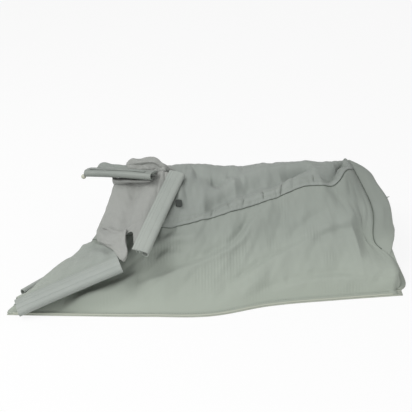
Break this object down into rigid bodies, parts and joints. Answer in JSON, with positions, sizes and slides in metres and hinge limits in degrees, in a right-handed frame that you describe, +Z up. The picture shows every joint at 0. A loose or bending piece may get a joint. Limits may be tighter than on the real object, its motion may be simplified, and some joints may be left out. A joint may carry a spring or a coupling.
{
  "type": "lawn mower grass catcher bag",
  "caption": "Cloth grass bag for a walk-behind mower, off its frame and slumped on its base, with flaps round its mouth that each end in a hooked plastic channel.",
  "frame": {"origin": "centre of the base of the bounding box, on the ground", "axes": "+X from the mouth to the closed rear end, +Y from the near side panel to the far one, +Z up"},
  "size_m": [0.6568, 0.4198, 0.1686],
  "materials": {
    "mesh_cloth": "woven mesh, matt",
    "plain_cloth": "coated plain weave, slight sheen",
    "channel_plastic": "satin extruded",
    "black_plastic": "satin moulded"
  },
  "bodies": {
    "root": {"near_side_panel": "mesh_cloth", "far_side_panel": "mesh_cloth", "rear_panel": "mesh_cloth", "top_panel": "plain_cloth", "base_panel": "plain_cloth", "near_flap": "plain_cloth", "top_flap": "plain_cloth", "far_flap": "plain_cloth", "base_flap": "plain_cloth", "near_channel": "channel_plastic", "top_channel": "channel_plastic", "far_channel": "channel_plastic", "base_channel": "channel_plastic", "frame_clip": "black_plastic", "end_bead": "channel_plastic"}
  },
  "joints": []
}
